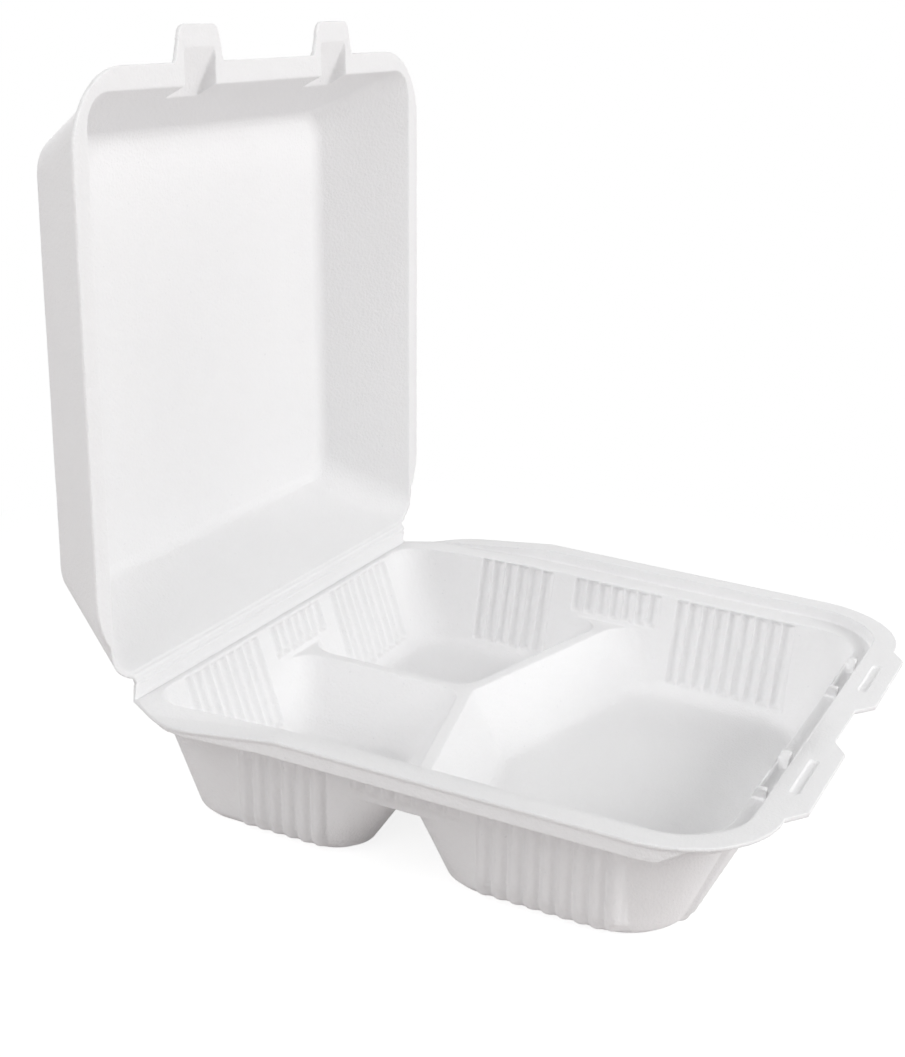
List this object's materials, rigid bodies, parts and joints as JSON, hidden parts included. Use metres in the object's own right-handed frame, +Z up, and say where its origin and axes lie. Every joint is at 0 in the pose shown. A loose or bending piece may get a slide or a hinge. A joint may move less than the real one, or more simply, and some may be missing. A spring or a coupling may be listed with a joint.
{
  "type": "foam clamshell food container",
  "caption": "Hinged foam clamshell food container: a fluted tray with chevron dividers, front catch tabs, and a deep lid with tongues, joined along a folded back edge.",
  "frame": {"origin": "on the table under the tray, midway between the fold and the front edge, on the plane of symmetry", "axes": "+Z up, the fold runs along X at the back (+Y), the front with its catches faces -Y"},
  "size_m": [0.23, 0.2669, 0.253],
  "materials": {
    "foam": "matt white expanded polystyrene foam sheet with a fine grain"
  },
  "bodies": {
    "tray": {"tray": "foam"},
    "lid": {"lid": "foam"}
  },
  "joints": [
    {"name": "lid_fold", "type": "hinge", "parent": "tray", "child": "lid", "pos_m": [0, 0.107, 0.0454], "axis": [1, 0, 0], "range_deg": [-86, 94]}
  ]
}
